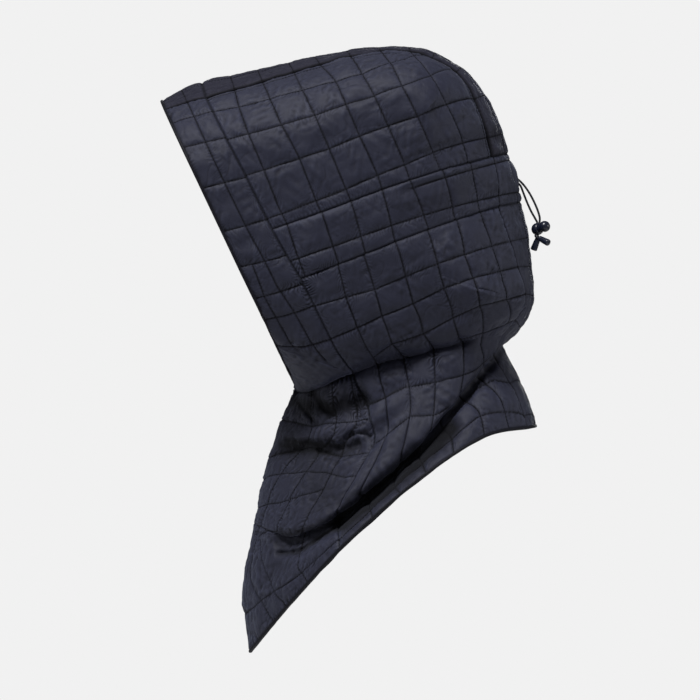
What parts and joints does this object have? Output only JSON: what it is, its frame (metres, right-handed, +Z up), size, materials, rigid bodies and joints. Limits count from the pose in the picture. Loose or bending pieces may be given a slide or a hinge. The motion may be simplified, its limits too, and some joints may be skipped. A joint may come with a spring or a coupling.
{
  "type": "quilted hood",
  "caption": "Padded, quilted pull-on hood with a face band, drawcord casing with a ball cord lock at the back, and a shoulder cape that points down in front.",
  "frame": {"origin": "inner point of the crown where the top of the wearer's head touches, on the hood's plane of symmetry", "axes": "+Z up, +Y towards the back of the head, so the face looks along -Y, +X towards the wearer's left"},
  "size_m": [0.2738, 0.3898, 0.6056],
  "materials": {
    "shell_cloth": "matt woven nylon with a soft sheen",
    "binding": "narrow turned binding of the same nylon",
    "cord": "round braided cord",
    "lock_plastic": "satin moulded plastic"
  },
  "bodies": {
    "root": {"face_band_top": "shell_cloth", "face_band_left": "shell_cloth", "face_band_right": "shell_cloth", "crown_panel": "shell_cloth", "side_upper_left": "shell_cloth", "side_upper_right": "shell_cloth", "drawcord_casing": "shell_cloth", "side_lower_left": "shell_cloth", "side_lower_right": "shell_cloth", "back_panel": "shell_cloth", "bib": "shell_cloth", "face_binding": "binding", "hem_binding": "binding", "drawcord_left": "cord", "drawcord_right": "cord", "cord_lock_body": "lock_plastic", "cord_end_left": "lock_plastic", "cord_end_right": "lock_plastic"},
    "lock_button": {"cord_lock_button": "lock_plastic"}
  },
  "joints": [
    {"name": "lock_button_press", "type": "slide", "parent": "root", "child": "lock_button", "axis": [-0.7539, -0.6191, -0.2197], "range_m": [0, 0.0022], "stiffness_N_per_m": 600, "springref_m": -0.003}
  ]
}
